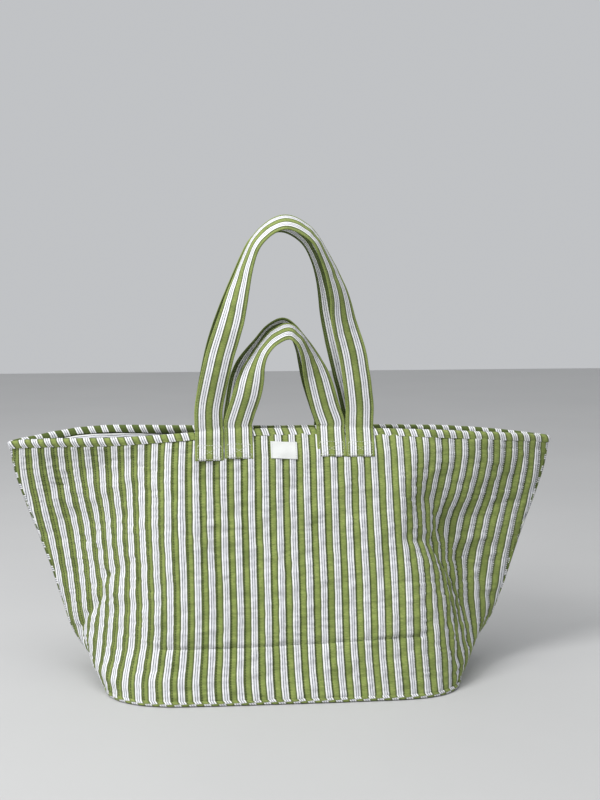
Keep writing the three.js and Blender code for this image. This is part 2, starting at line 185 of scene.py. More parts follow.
def even_halves(line):
    """The line with evenly spaced points, as many left of its middle as right of it."""
    middle = len(line) // 2
    left = spread_evenly(line[: middle + 1], SHELL_COLUMNS // 4)
    right = spread_evenly(line[middle:], SHELL_COLUMNS // 4)
    return np.vstack([left, right[1:]])


def back_line(front, level):
    """The back of one level, from the left tip to the right one."""
    x, y = front.T
    tip_x, tip_y = np.where(x < 0, -x[0], x[-1]), np.where(x < 0, y[0], y[-1])
    near_tip = np.clip((np.abs(x) - TIP_REACH) / (tip_x - TIP_REACH), 0, 1)
    gape = MOUTH_GAPE * level**4 * bell(x, MOUTH_GAPE_X, 80 * MM)
    return even_halves(together(x, 2 * tip_y * near_tip - y + gape))


def through_heights(levels, knots, values):
    """Values at these levels on smooth curves through the sections."""
    gaps = np.diff(knots)
    slopes = np.diff(values, axis=0) / gaps[:, None, None]
    before, after = gaps[:-1, None, None], gaps[1:, None, None]
    inner = (slopes[:-1] * after + slopes[1:] * before) / (before + after)
    tangents = np.concatenate([slopes[:1], inner, slopes[-1:]])
    i = np.clip(np.searchsorted(knots, levels) - 1, 0, len(gaps) - 1)
    t = ((levels - knots[i]) / gaps[i])[:, None, None]
    gap = gaps[i][:, None, None]
    ends = (2 * t**3 - 3 * t**2 + 1) * values[i] + (3 * t**2 - 2 * t**3) * values[i + 1]
    turns = (t**3 - 2 * t**2 + t) * tangents[i] + (t**3 - t**2) * tangents[i + 1]
    return ends + gap * turns


def start_shape():
    """Points of the whole wall, a row for each level, going left tip, front, right tip, back."""
    knots = np.array([height for height, _ in SECTIONS]) * MM / RIM_HEIGHT
    knots = knots / knots[-1]
    fronts = [even_halves(smooth_line(points) * MM) for _, points in SECTIONS]
    backs = [back_line(front, level) for front, level in zip(fronts, knots)]
    rings = np.array([np.vstack([f, b[1:-1][::-1]]) for f, b in zip(fronts, backs)])
    levels = np.linspace(0, 1, SHELL_ROWS)
    plan = through_heights(levels, knots, rings)
    on_front = np.arange(plan.shape[1]) <= SHELL_COLUMNS // 2
    sag = np.where(on_front, FRONT_SAG, BACK_SAG) * bell(plan[..., 0], MOUTH_SAG_X, 100 * MM)
    height = WALL_FOOT + levels[:, None] * (rim_height(plan[..., 0]) - sag - WALL_FOOT)
    return np.concatenate([plan, height[..., None]], 2)


def cut_shape():
    """The shell as cut and sewn, rolled into a plain cone: its edges have the cloth's own lengths."""
    levels = np.linspace(0, 1, SHELL_ROWS)[:, None]
    turn = (np.arange(SHELL_COLUMNS) / SHELL_COLUMNS * 2 * math.pi)[None, :]
    radius = lerp(PANEL_FOOT_WIDTH, PANEL_RIM_WIDTH, levels) / math.pi
    slope = (PANEL_RIM_WIDTH - PANEL_FOOT_WIDTH) / math.pi
    height = levels * math.sqrt(PANEL_HEIGHT**2 - slope**2)
    return together(-radius * np.cos(turn), -radius * np.sin(turn), height)


def show(thing):
    bpy.context.scene.collection.objects.link(thing)
    return thing


# How the wall behaves as cloth while it settles
CLOTH_SETTINGS = {
    "quality": 10,
    "mass": 0.02,
    "tension_stiffness": 60,
    "compression_stiffness": 60,
    "shear_stiffness": 30,
    "bending_model": "ANGULAR",
    "bending_stiffness": 8,
    "tension_damping": 20,
    "compression_damping": 20,
    "shear_damping": 20,
    "bending_damping": 2,
    "air_damping": 3,
    "vertex_group_mass": "held",
}


def settle(start):
    """Lets the quilted wall buckle and sag as cloth, held along its rim and its base seam."""
    count = SHELL_ROWS * SHELL_COLUMNS
    mesh = bpy.data.meshes.new("shell")
    faces = strip_faces(SHELL_ROWS, SHELL_COLUMNS, closed=True)
    mesh.from_pydata(start.reshape(-1, 3).tolist(), [], faces)
    shell = show(bpy.data.objects.new("shell", mesh))
    shell.shape_key_add(name="start")
    cut = shell.shape_key_add(name="cut")
    cut.data.foreach_set("co", cut_shape().astype(np.float32).ravel())
    held = shell.vertex_groups.new(name="held")
    held.add([*range(SHELL_COLUMNS), *range(count - SHELL_COLUMNS, count)], 1.0, "REPLACE")
    cloth = shell.modifiers.new("cloth", "CLOTH")
    for name, value in CLOTH_SETTINGS.items():
        setattr(cloth.settings, name, value)
    cloth.settings.rest_shape_key = cut
    cloth.settings.effector_weights.gravity = 0.3
    cloth.collision_settings.use_collision = False
    cloth.point_cache.frame_start, cloth.point_cache.frame_end = 1, SHELL_FRAMES
    for number in range(1, SHELL_FRAMES + 1):
        bpy.context.scene.frame_set(number)
    graph = bpy.context.evaluated_depsgraph_get()
    settled = np.zeros(count * 3, np.float32)
    shell.evaluated_get(graph).data.vertices.foreach_get("co", settled)
    bpy.data.objects.remove(shell)
    bpy.context.scene.frame_set(1)
    return settled.reshape(SHELL_ROWS, SHELL_COLUMNS, 3).astype(float)


class Wall:
    """The settled shell's outer surface.

    place runs from 0 at the left tip over the front to 0.5 at the right tip and on over the back.
    level runs from 0 at the foot to 1 at the rim, and a little beyond.
    """

    def __init__(self, grid):
        below = 2 * grid[:1] - grid[1:2]
        above = 2 * grid[-1:] - grid[-2:-1]
        self.knots = np.concatenate([below, grid, above])
        self.rows, self.columns = grid.shape[:2]

    def point(self, place, level):
        place, level = np.broadcast_arrays(np.asarray(place, float), np.asarray(level, float))
        u = place * self.columns
        v = level * (self.rows - 1)
        i = np.floor(u).astype(int)
        j = np.clip(np.floor(v).astype(int), 0, self.rows - 2)
        inside = np.clip(v - j, 0, 1)
        across_weights, up_weights = cubic_weights(u - i), cubic_weights(inside)
        up_weights[..., 1] -= v - j - inside
        up_weights[..., 2] += v - j - inside
        rows = j[..., None, None] + np.arange(4)[:, None]
        columns = (i[..., None, None] + np.arange(-1, 3)) % self.columns
        knots = self.knots[rows, columns]
        return np.einsum("...b,...a,...bac->...c", up_weights, across_weights, knots)

    def normal(self, place, level):
        step = 0.0015
        around = self.point(place + step, level) - self.point(place - step, level)
        up = self.point(place, level + 2 * step) - self.point(place, level - 2 * step)
        return unit(np.cross(around, up))

    def outside(self, place, level, height):
        return self.point(place, level) + self.normal(place, level) * np.asarray(height)[..., None]

    def inside(self, place, level, depth):
        """A point below the surface. All layers grow thin where front and back meet at a tip."""
        facing = self.point(place, level) - self.point(1 - np.asarray(place), level)
        share = np.clip(0.45 * np.linalg.norm(facing, axis=-1) / DEEPEST_LAYER, THINNEST_SHARE, 1)
        return self.outside(place, level, -np.asarray(depth) * share)

    def place_at(self, x, level):
        """The place on the front with this x at one level."""
        places = np.linspace(0.02, 0.48, 2000)
        return np.interp(x, self.point(places, level)[:, 0], places)


def cloth_width(level):
    return lerp(PANEL_FOOT_WIDTH, PANEL_RIM_WIDTH, level)


FIRST_PLACE = {"front": 0, "back": 0.5}


def panel_grid(side, places, levels):
    """Place and level of each point of one side of the wall, and its x and y in the cut cloth."""
    first = FIRST_PLACE[side]
    place, level = np.broadcast_arrays((first + places)[None, :], levels[:, None])
    x = (place - first - 0.25) * 2 * cloth_width(level)
    return place, level, x, level * PANEL_HEIGHT


# ---- sharp folds ----
# Each is (depth, width, [(x, y), ...]): its line in the cloth's own millimetres, from the middle of
# the panel and up from its foot.
FOLDS = {
    "front": [
        (5.0, 13, [(168, 224), (200, 218), (221, 211), (236, 190), (262, 181), (292, 175)]),
        (4.5, 14, [(222, 275), (246, 229), (265, 209), (285, 189), (303, 177), (328, 134), (345, 115)]),
        (4.0, 12, [(222, 208), (244, 178), (272, 150), (293, 111), (302, 80)]),
        (1.8, 7, [(185, 320), (203, 319), (210, 338)]),
        (2.5, 12, [(-332, 304), (-310, 320), (-291, 328), (-262, 340)]),
        (2.5, 14, [(-342, 250), (-325, 253), (-307, 256), (-285, 248)]),
        (5.5, 11, [(-250, 185), (-274, 171), (-287, 160), (-286, 138), (-298, 124), (-320, 100), (-337, 78)]),
        (1.6, 6, [(-203, 301), (-190, 297)]),
        (1.6, 6, [(-244, 117), (-222, 124)]),
        (3.0, 10, [(-341, 79), (-332, 50)]),
    ],
    "back": [
        (4.5, 14, [(-300, 250), (-262, 214), (-246, 170)]),
        (5.0, 12, [(-246, 172), (-288, 140), (-330, 92)]),
        (4.0, 14, [(290, 262), (255, 205), (262, 150), (300, 96)]),
        (3.5, 12, [(180, 236), (225, 214), (258, 204)]),
        (2.0, 9, [(-150, 300), (-120, 286), (-84, 290)]),
    ],
}
FOLD_SOFTNESS = 2 * MM
FOLD_MARGIN = 30 * MM  # folds fade out within this distance of a panel's edges
FINE_COLUMNS = 4 * SHELL_COLUMNS
FINE_ROWS = 4 * SHELL_ROWS


def distance_to(line, x, y):
    """Distance from each (x, y) to a line of straight pieces."""
    nearest = np.full(np.shape(x), np.inf)
    for (x0, y0), (x1, y1) in zip(line[:-1], line[1:]):
        run_x, run_y = (x1 - x0) * MM, (y1 - y0) * MM
        share = ((x - x0 * MM) * run_x + (y - y0 * MM) * run_y) / (run_x**2 + run_y**2)
        share = np.clip(share, 0, 1)
        gap = np.hypot(x - x0 * MM - share * run_x, y - y0 * MM - share * run_y)
        nearest = np.minimum(nearest, gap)
    return nearest


def fold_depth(side, x, y):
    depth = 0
    for deep, wide, line in FOLDS[side]:
        distance = np.hypot(distance_to(line, x, y), FOLD_SOFTNESS) - FOLD_SOFTNESS
        depth = depth + deep * MM * np.exp(-distance / (wide * MM))
    from_seam = cloth_width(y / PANEL_HEIGHT) / 2 - np.abs(x)
    from_edge = np.minimum(from_seam, np.minimum(y, PANEL_HEIGHT - y))
    return depth * smoothstep(0, FOLD_MARGIN, from_edge)


def press_folds(shell):
    """The shell on a finer grid, with its sharp folds pressed in."""
    flat = Wall(shell)
    halves = []
    for side in FOLDS:
        places = np.arange(FINE_COLUMNS // 2) / FINE_COLUMNS
        place, level, x, y = panel_grid(side, places, np.linspace(0, 1, FINE_ROWS))
        halves.append(flat.outside(place, level, -fold_depth(side, x, y)))
    return np.concatenate(halves, 1)


# ---- mesh helpers ----
def strip_faces(rows, columns, start=0, closed=False, flip=False):
    """Quads between neighbouring points of a grid of rows by columns."""
    low = np.arange(rows - 1)[:, None] * columns
    here = np.arange(columns if closed else columns - 1)[None, :]
    ahead = (here + 1) % columns
    corners = [low + here, low + ahead, low + columns + ahead, low + columns + here]
    if flip:
        corners.reverse()
    return (np.stack(corners, 2).reshape(-1, 4) + start).tolist()


def border(rows, columns, start=0):
    """Indices round the edge of a grid, anticlockwise from its first point."""
    grid = np.arange(rows * columns).reshape(rows, columns) + start
    return np.concatenate([grid[0, :-1], grid[:-1, -1], grid[-1, :0:-1], grid[:0:-1, 0]]).tolist()


def slab(outer, inner, step=1):
    """A closed solid between two grids. The inner one may have one point for every few outer ones."""
    rows, columns = outer.shape[:2]
    inner_rows, inner_columns = inner.shape[:2]
    count = rows * columns
    faces = strip_faces(rows, columns) + strip_faces(inner_rows, inner_columns, count, flip=True)
    fine = border(rows, columns)
    coarse = border(inner_rows, inner_columns, count)
    for k, here in enumerate(coarse):
        ahead = coarse[(k + 1) % len(coarse)]
        along = [fine[(k * step + n) % len(fine)] for n in range(step, -1, -1)]
        faces.append(along + [here, ahead])
    return np.concatenate([outer.reshape(-1, 3), inner.reshape(-1, 3)]), faces


def tube(sections, closed=False):
    """A closed solid swept through rings of points, capped at both ends unless it is a ring itself."""
    rows, columns = sections.shape[:2]
    faces = strip_faces(rows + closed, columns, closed=True)
    if closed:
        faces = (np.array(faces) % (rows * columns)).tolist()
    else:
        faces.append(list(range(columns))[::-1])
        faces.append(list(range((rows - 1) * columns, rows * columns)))
    return sections.reshape(-1, 3), faces


def make_piece(name, vertices, faces, cloth, material, replaced, body="root"):
    """An object whose points each keep their place in the cloth: x across it, y along it, and a seed."""
    mesh = bpy.data.meshes.new(name)
    mesh.from_pydata(np.asarray(vertices, float).reshape(-1, 3).tolist(), [], faces)
    attribute = mesh.attributes.new("cloth", "FLOAT_VECTOR", "POINT")
    attribute.data.foreach_set("vector", np.asarray(cloth, np.float32).ravel())
    mesh.polygons.foreach_set("use_smooth", np.ones(len(mesh.polygons), bool))
    mesh.materials.append(material)
    mesh.update()
    piece = show(bpy.data.objects.new(name, mesh))
    if body:
        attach(piece, body)
    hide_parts(*replaced)
    return piece


def slab_piece(name, outer, inner, cloth, material, replaced):
    """A piece between two grids of one size. Both its faces show the same cloth."""
    vertices, faces = slab(outer, inner)
    cloth = cloth.reshape(-1, 3)
    return make_piece(name, vertices, faces, np.concatenate([cloth, cloth]), material, replaced)


# ---- quilted panels ----
QUILT_PITCH = 19.35 * MM  # the quilting is a little narrower than the stripes and drifts across them
QUILT_PHASE = 0.18
QUILT_PUFF = 1.9 * MM
PANEL_SEEDS = {"front": 10, "back": 20}
PANEL_FOOT_LEVEL = 0.004  # keeps the panel's inner face off the floor
INNER_SHADE_SEED = 1000  # added to the seed on the cloth's inner face and on the lining, which get a darker green as painted shade
PRESSED_DEPTH = 1.2 * MM  # of the cloth where a seam or a binding presses it
BILLOW = 1.4 * MM
POCKET_HALF_WIDTH = 182 * MM  # the pocket's seam, seen from outside, in the cloth's own sizes
POCKET_FOOT = 82 * MM
POCKET_TILT = 0.03  # the seam rises a little to the right
POCKET_HEAD = 300 * MM
SEAM_DENT, SEAM_HOLLOW, SEAM_GATHERS = 2.6 * MM, 1.0 * MM, 1.5 * MM


def pocket_seam(x, y):
    """Distance from the pocket's seam, which runs down one side, across and up the other."""
    below_head = np.maximum(y - POCKET_HEAD, 0)
    above_foot = np.maximum(POCKET_FOOT - y, 0)
    side = np.hypot(np.abs(x) - POCKET_HALF_WIDTH, np.maximum(below_head, above_foot))
    foot = np.hypot(y - POCKET_FOOT, np.maximum(np.abs(x) - POCKET_HALF_WIDTH, 0))
    return np.minimum(side, foot)


def pocket_dent(x, y, seed):
    """Height of the cloth where the pocket's seam draws it in, with small gathers along the seam."""
    up = y - POCKET_TILT * x
    distance = pocket_seam(x, up)
    strength = lerp(0.4, 1, smoothstep(10 * MM, 0, up - POCKET_FOOT))
    on_foot = np.abs(up - POCKET_FOOT) < np.abs(np.abs(x) - POCKET_HALF_WIDTH)
    gathers = noise(np.where(on_foot, x, y) / (7 * MM), distance / (30 * MM), seed)
    gathers = SEAM_GATHERS * gathers * bell(distance, 0, 12 * MM)
    dent = SEAM_DENT * bell(distance, 0, 2.6 * MM) + SEAM_HOLLOW * bell(distance, 0, 14 * MM)
    return (gathers - dent) * strength


def quilting(x, y, seed):
    """Height of the quilted cloth: channels between lines of stitches, with small puckers and creases."""
    phase = x / QUILT_PITCH + QUILT_PHASE
    from_middle = np.abs(np.mod(phase, 1) * 2 - 1)
    puff = QUILT_PUFF * (1 - from_middle**2.6)
    puckers = noise(phase * 1.6, y / (3.4 * MM), seed) * (0.55 + 0.55 * from_middle) * MM
    lumps = noise(phase * 0.9 + 7, y / (12 * MM), seed + 1) * 0.6 * MM
    crease = noise(x / (55 * MM), y / (15 * MM) + x / (160 * MM), seed + 2)
    deep = smoothstep(0.0, 0.6, noise(x / (50 * MM) + 3, y / (40 * MM), seed + 3))
    return puff + puckers + lumps - 1.1 * MM * bell(crease, 0, 0.06) * deep


def outer_panel(side, material, columns=440, rows=200, coarse=4):
    seed = PANEL_SEEDS[side]
    seam = 0.0001
    places = np.linspace(seam, 0.5 - seam, columns + 1)
    place, level, x, y = panel_grid(side, places, np.linspace(PANEL_FOOT_LEVEL, 1, rows + 1))
    from_seam = cloth_width(level) / 2 - np.abs(x)
    pressed = smoothstep(0, 16 * MM, from_seam) * smoothstep(0, 14 * MM, PANEL_HEIGHT - y)
    pressed = pressed * smoothstep(0, 9 * MM, y)
    height = quilting(x, y, seed) * pressed - PRESSED_DEPTH * (1 - pressed)
    height = height + noise(x / (48 * MM), y / (60 * MM), seed + 4) * BILLOW * pressed
    if side == "front":
        height = height + pocket_dent(x, y, seed + 5)
    outer = wall.outside(place, level, height)
    rough = (slice(None, None, coarse), slice(None, None, coarse))
    inner = wall.inside(place[rough], level[rough], PANEL_CLOTH)
    vertices, faces = slab(outer, inner, coarse)
    cloth = together(x, y, seed)
    cloth = np.concatenate([cloth.reshape(-1, 3), cloth[rough].reshape(-1, 3)])
    replaced = (f"{side}_outer_panel", f"{side}_wadding")
    panel = make_piece(f"{side}_quilted_panel", vertices, faces, cloth, material, replaced)


# ---- lining ----
LINING_TOP_STRIPE = 15 * MM  # the lining's stripes run along the rim, and the first is this far below it
LINING_SEEDS = {"front": 30, "back": 40}


def lining(side, material, columns=240, rows=90):
    seed = LINING_SEEDS[side]
    places = np.linspace(0.0004, 0.4996, columns + 1)
    place, level, x, y = panel_grid(side, places, np.linspace(0.022, 0.992, rows + 1))
    slack = smoothstep(0, 40 * MM, y) * smoothstep(0, 25 * MM, PANEL_HEIGHT - y)
    waves = 0.5 + 0.5 * noise(x / (32 * MM), y / (75 * MM), seed)
    folds = bell(noise(x / (60 * MM), y / (50 * MM), seed + 1), 0, 0.12)
    depth = (2.2 * waves + 1.2 * folds) * MM * slack
    outer = wall.inside(place, level, LINING_OUTER + depth)
    inner = wall.inside(place, level, LINING_INNER + depth)
    along_rim = y - PANEL_HEIGHT + LINING_TOP_STRIPE + PITCH / 2
    # the whole lining takes the darker green of painted shade
    cloth = together(along_rim, x, seed + INNER_SHADE_SEED)
    piece = slab_piece(f"{side}_lining_cloth", outer, inner, cloth, material, (f"{side}_lining",))


# ---- base ----
BASE_COLUMNS = 288
BASE_SEED, BASE_LINING_SEED = 50, 55
BASE_PANEL_INSET, BASE_LINING_INSET = 6.2 * MM, 8.0 * MM
BASE_LINING_RIPPLE = 3.5 * MM


def floor_outline(inset):
    """The wall's foot, seen from above and moved inwards."""
    places = np.arange(BASE_COLUMNS) / BASE_COLUMNS
    return wall.outside(places, 4 * MM / RIM_HEIGHT, np.full(BASE_COLUMNS, -inset))[:, :2]


def floor_slab(low, high, inset, rings=44):
    """A plate inside the wall's foot. low and high give its faces' heights from x, y and the share
    of the way out from its middle."""
    shares = np.linspace(1, 1 / rings, rings)[:, None] ** 0.9
    x, y = floor_outline(inset).T[:, None, :] * shares
    lower, upper = (together(x, y, face(x, y, shares)) for face in (low, high))
    vertices, faces = tube(np.concatenate([upper[::-1], lower]))
    return vertices, faces, together(vertices[:, 0], vertices[:, 1], BASE_SEED)


def base_panel(material):
    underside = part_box("base_outer_panel")[0].z + 0.2 * MM
    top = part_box("base_wadding")[1].z - 0.6 * MM

    def under(x, y, share):
        return underside + (QUILT_PUFF - quilting(x, y, BASE_SEED).clip(0, QUILT_PUFF)) * 0.8

    def over(x, y, share):
        return top

    vertices, faces, cloth = floor_slab(under, over, BASE_PANEL_INSET)
    replaced = ("base_outer_panel", "base_wadding")
    piece = make_piece("base_quilted_panel", vertices, faces, cloth, material, replaced)


def base_lining(material):
    cloth_low, cloth_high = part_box("base_lining")

    def waves(x, y, share):
        ripple = 0.5 + 0.5 * noise(x / (70 * MM), y / (45 * MM), BASE_LINING_SEED)
        return BASE_LINING_RIPPLE * ripple * smoothstep(1.0, 0.86, share)

    def under(x, y, share):
        return cloth_low.z + waves(x, y, share)

    def over(x, y, share):
        return cloth_high.z + waves(x, y, share)

    vertices, faces, cloth = floor_slab(under, over, BASE_LINING_INSET)
    piece = make_piece("base_lining_cloth", vertices, faces, cloth, material, ("base_lining",))
    outline = floor_outline(BASE_LINING_INSET)
    ahead = np.roll(outline, -1, axis=0)
    area = abs(np.sum(outline[:, 0] * ahead[:, 1] - ahead[:, 0] * outline[:, 1])) / 2
    flat = tuple(float(size) for size in outline.max(0) - outline.min(0))


# ---- bindings ----
RING_STEPS = 900
BINDING_INNER_FACE = -2.6 * MM  # a strip's points further in than this are on its inner face


def ring_strip(name, material, profile, level, replaced, slant, seed, swell):
    """A folded strip round the whole bag. profile is a closed list of (outwards, up) round its section."""
    places = (np.arange(RING_STEPS) / RING_STEPS)[:, None]
    run = run_along(wall.point(places[:, 0], level))[:, None]
    out, up = profile.T[:, None, :]
    puff = noise(run / (9 * MM), np.arange(len(profile))[None, :] * 0.4, seed)
    shaped = out + np.where(out > BINDING_INNER_FACE, 1, -1) * swell * puff
    place, levels = np.broadcast_arrays(places, level + up / RIM_HEIGHT)
    sections = wall.inside(place, levels, np.maximum(-shaped, 0))
    sections = sections + wall.normal(place, levels) * np.maximum(shaped, 0)[..., None]
    vertices, faces = tube(sections, closed=True)
    across = run_along(profile)
    along = (places - 0.25) * 2 * cloth_width(level)
    sway = 2 * MM * noise(run / (120 * MM), np.zeros(1), seed + 1)
    x = along + slant * (across - across.max() / 4) + sway
    # points on the inner face get the darker green of painted shade
    cloth = together(x, across, seed + INNER_SHADE_SEED * (out < BINDING_INNER_FACE))
    make_piece(name, vertices, faces, cloth, material, replaced)


def rim_binding(material):
    profile = [
        (0.8, -8.4), (1.3, -9.0), (1.7, -8.4), (1.4, -7.4), (2.1, -5.8), (2.3, -4.0), (2.2, -2.0),
        (1.6, 0.0), (0.2, 1.6), (-1.6, 2.3), (-3.6, 2.3), (-5.6, 1.6), (-6.9, 0.0), (-7.6, -3.0),
        (-7.4, -6.0), (-7.1, -7.8), (-6.6, -9.0), (-6.0, -8.4), (-6.0, -5.0), (-5.6, -1.0),
        (-4.4, 0.4), (-1.0, 0.4), (0.5, -1.0), (0.8, -5.0),
    ]
    profile = np.array(profile) * MM
    ring_strip("rim_binding_strip", material, profile, 1.0, ("rim_binding",), 0.35, 60, 0.5 * MM)


def base_binding(material):
    turn = np.linspace(0, 2 * math.pi, 18, endpoint=False)
    profile = together(0.9 + 1.5 * np.cos(turn), 3.9 + 3.2 * np.sin(turn)) * MM
    ring_strip("base_binding_strip", material, profile, 0.0, ("base_binding",), 0.6, 62, 0.3 * MM)


TAPE_SEED = 65
TAPE_HALF_WIDTH = 7 * MM
TAPE_OUTER, TAPE_INNER = 5.6 * MM, 6.9 * MM  # depths of its two faces
TAPE_TOP_LEVEL = 0.955


def seam_tape(hand, tip, material, rows=120, columns=13):
    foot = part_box(f"{hand}_seam_tape")[0].z / RIM_HEIGHT
    level = np.linspace(foot, TAPE_TOP_LEVEL, rows + 1)[:, None]
    across = np.linspace(-TAPE_HALF_WIDTH, TAPE_HALF_WIDTH, columns + 1)[None, :]
    place = tip + across / (2 * cloth_width(level))
    outer, inner = wall.inside(place, level, TAPE_OUTER), wall.inside(place, level, TAPE_INNER)
    cloth = together(level * PANEL_HEIGHT + 0.4 * across, across, TAPE_SEED)
    slab_piece(f"{hand}_seam_binding_tape", outer, inner, cloth, material, (f"{hand}_seam_tape",))


# ---- stitches ----
STITCH_LENGTH = 2.6 * MM
STITCH_SPACING = 3.5 * MM
THREAD_RADIUS = 0.34 * MM
THREAD_SEED = 70
STITCH_SHAPE = [(-0.5, 0.25), (-0.3, 0.85), (0.0, 1.0), (0.3, 0.85), (0.5, 0.25)]  # (along, thickness)


def stitches(name, routes, material, replaced, radius=THREAD_RADIUS):
    """One small rounded stitch after another along each route of (points, surface normals)."""
    vertices, faces = [], []
    share, size = np.array(STITCH_SHAPE).T[:, :, None, None]
    angle = np.linspace(0, 2 * math.pi, 6, endpoint=False)[None, :, None]
    count = share.size * angle.size
    for points, normals in routes:
        run = run_along(points)
        number = max(int(run[-1] / STITCH_SPACING), 1)
        for middle in (np.arange(number) + 0.5) / number * run[-1]:
            first = along_line(middle - STITCH_LENGTH / 2, run, points)
            last = along_line(middle + STITCH_LENGTH / 2, run, points)
            out = unit(along_line(middle, run, normals))
            along = unit(last - first)
            spread = (np.cross(along, out) * np.cos(angle) + out * np.sin(angle) * 0.8) * radius
            stitch = (first + last) / 2 + along * share * STITCH_LENGTH + spread * size
            ring_points, ring_faces = tube(stitch)
            faces += [[corner + len(vertices) * count for corner in face] for face in ring_faces]
            vertices.append(ring_points)
    cloth = together(share * STITCH_LENGTH, angle * radius, THREAD_SEED).reshape(-1, 3)
    cloth = np.tile(cloth, (len(vertices), 1))
    make_piece(name, np.concatenate(vertices), faces, cloth, material, replaced)


# ---- slip pocket ----
POCKET_SEED, POCKET_EDGE_SEED = 80, 81
POCKET_SLACK = 20 * MM
POCKET_SAG = 1.2 * MM
POCKET_STAND_OFF = 4.2 * MM  # from the lining's inner face
POCKET_OUTER, POCKET_INNER = 0.4 * MM, 1.4 * MM
POCKET_LOW, POCKET_TOP = pocket_low.z / RIM_HEIGHT, pocket_high.z / RIM_HEIGHT


def pocket_grid(share, level, depth):
    """Points of the pocket: share runs across it, and depth is below its own outer face."""
    rise = np.clip((level - POCKET_LOW) / POCKET_TOP, 0, 1)
    slack = POCKET_SLACK * np.sin(math.pi * share) * rise
    sag = POCKET_SAG * noise(share * 9, level * 7, POCKET_SEED) * np.sin(math.pi * share)
    first = wall.place_at(-POCKET_HALF_WIDTH, 0.8)
    last = wall.place_at(POCKET_HALF_WIDTH, 0.8)
    depth = LINING_INNER + POCKET_STAND_OFF + slack + sag + depth
    return wall.inside(lerp(first, last, share), level, depth)


def slip_pocket(material, columns=120, rows=60):
    share = np.linspace(0, 1, columns + 1)[None, :]
    level = np.linspace(pocket_low.z, pocket_high.z, rows + 1)[:, None] / RIM_HEIGHT
    outer, inner = pocket_grid(share, level, POCKET_OUTER), pocket_grid(share, level, POCKET_INNER)
    cloth = together((share - 0.5) * 2 * POCKET_HALF_WIDTH, level * PANEL_HEIGHT, POCKET_SEED)
    piece = slab_piece("slip_pocket_cloth", outer, inner, cloth, material, ("slip_pocket",))


def pocket_binding(material, columns=160):
    share = np.linspace(0, 1, columns + 1)[:, None]
    profile = [
        (0.2, -7.0), (-0.4, -6.6), (-0.6, -3.0), (-0.3, 0.2), (0.9, 1.2), (2.1, 0.2), (2.4, -3.0),
        (2.2, -6.6), (1.6, -7.0), (1.5, -0.6), (0.3, -0.6),
    ]
    depth, up = np.array(profile).T * MM
    vertices, faces = tube(pocket_grid(share, (pocket_high.z + up) / RIM_HEIGHT, depth))
    across = run_along(together(depth, up))
    cloth = together((share - 0.5) * 2 * POCKET_HALF_WIDTH + 0.3 * across, across, POCKET_EDGE_SEED)
    make_piece("slip_pocket_edge_strip", vertices, faces, cloth, material, ("slip_pocket_binding",))


def pocket_stitching(material):
    """The stitches of the pocket's seam, as they show on the pocket."""
    left, right = 0.018, 0.975
    foot, head = POCKET_LOW + 0.012, POCKET_TOP
    down, across = np.linspace(1, 0, 120), np.linspace(0, 1, 240)
    share = np.concatenate([0 * down + left, lerp(left, right, across), 0 * down + right])
    level = np.concatenate([lerp(foot, head, down), 0 * across + foot, lerp(foot, head, down[::-1])])
    points = pocket_grid(share, level, POCKET_INNER)
    above = pocket_grid(share, level, POCKET_INNER + 2 * MM)
    routes = [(points, unit(above - points))]
    stitches("slip_pocket_stitches", routes, material, ("slip_pocket_stitching",))


# ---- straps ----
STRAP_WIDTH = 40 * MM
STRAP_OVERLAP = 39 * MM
APEX_TILT = math.radians(30)  # slope of a strap's face at its top
RIDGE_HALF_GAP = 3.5 * MM
TOPSTITCH = 17 * MM  # from a strap's middle line
FOOT_STAND_OFF = 2.6 * MM  # of a strap's middle from the wall, below the rim binding and across it
BINDING_STAND_OFF = 5.0 * MM
BLEND_LOW, BLEND_HIGH = 3 * MM, 32 * MM  # distances below and above the rim; strap_piece works out two points from them that nothing uses

# Middle lines of the arches as (x, rise above the rim), from the left leg to the right one.
ARCHES = {
    "front_shoulder_strap": [
        (-106.5, 12), (-105, 40), (-91, 103), (-74, 158), (-51, 240), (-28, 276), (4, 291),
        (38, 276), (60, 240), (76, 196), (83, 157), (97, 103), (106, 40), (106.5, 12),
    ],
    "back_shoulder_strap": [
        (-106.5, 12), (-104, 40), (-92, 103), (-77, 158), (-54, 240), (-32, 272), (-2, 289),
        (31, 272), (52, 240), (66, 196), (74, 157), (86, 103), (101, 40), (106.5, 12),
    ],
    "front_carry_handle": [
        (-65.5, 10), (-60, 28), (-53, 50), (-48, 72), (-42, 93), (-31, 115),
        (-15, 132), (5, 141), (20, 132), (32, 113), (45, 78), (58, 32), (65.5, 10),
    ],
    "back_carry_handle": [
        (-65.5, 10), (-62, 32), (-57, 64), (-49, 90), (-38, 113), (-22, 136),
        (-2, 147), (14, 139), (29, 118), (40, 94), (49, 62), (58, 32), (65.5, 10),
    ],
}
TURN_ENDS = {"front_carry_handle": (0.85, 1.0)}  # how far up its left and right legs it has turned fully
SPACINGS = {"shoulder_strap": 106.5 * MM, "carry_handle": 65.5 * MM}
FOOT_DROPS = np.array([39, 32, 24, 16, 10, 5, 0]) * MM  # of points on a sewn end below the rim


def strap_half_thickness(w):
    """Half thickness at w from the middle line: full between the rows of topstitching, round at the edge."""
    edge = np.clip(1 - np.abs(w) / (STRAP_WIDTH / 2), 0, 1) * (STRAP_WIDTH / 2)
    corner = np.clip(edge / (1.6 * MM), 0, 1)
    body = 1.45 + 0.55 * np.clip(1 - np.abs(w) / TOPSTITCH, 0, 1) ** 0.5
    groove = 0.65 * bell(np.abs(w), TOPSTITCH, 1.1 * MM)
    return (body - groove) * MM * np.sqrt(corner * (2 - corner))


